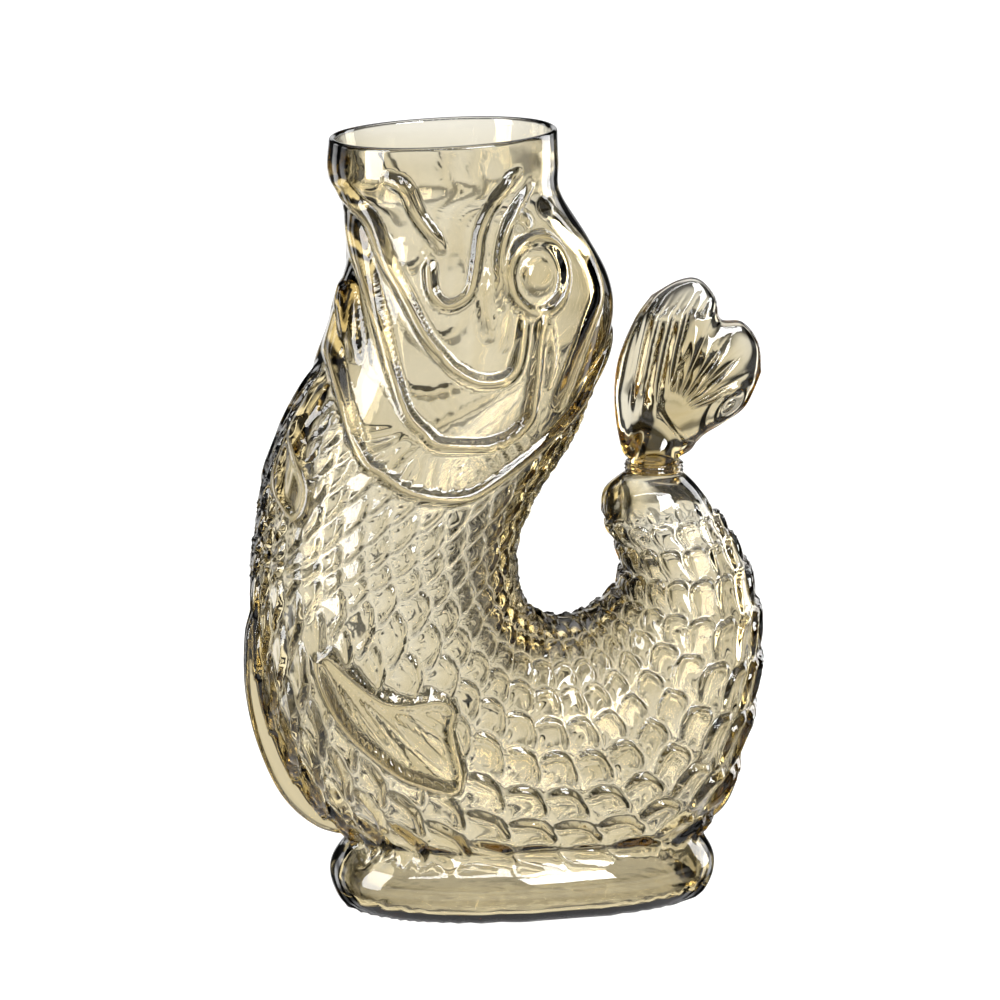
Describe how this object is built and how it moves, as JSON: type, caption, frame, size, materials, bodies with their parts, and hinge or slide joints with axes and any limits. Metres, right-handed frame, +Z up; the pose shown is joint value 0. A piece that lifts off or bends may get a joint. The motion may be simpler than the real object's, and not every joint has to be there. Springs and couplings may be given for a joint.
{
  "type": "water carafe",
  "caption": "Fish-shaped moulded glass carafe: it pours from the round open mouth, and the curled tail with its welded fin closes a finger gap above a flat oval foot.",
  "frame": {"origin": "middle of the flat underside of the foot, on the plane of symmetry", "axes": "+Z up out of the foot, +X from the pouring lip towards the tail, so that Y is square to the plane of symmetry"},
  "size_m": [0.1686, 0.0982, 0.2496],
  "materials": {
    "body_glass": "clear smoky amber glass, blown in a mould, fire-polished",
    "collar_glass": "clear smoky amber glass, hot-formed",
    "fin_glass": "clear smoky amber glass, solid, hot-formed and ribbed"
  },
  "bodies": {
    "root": {"glass_body": "body_glass", "weld_collar": "collar_glass", "tail_fin": "fin_glass"}
  },
  "joints": []
}
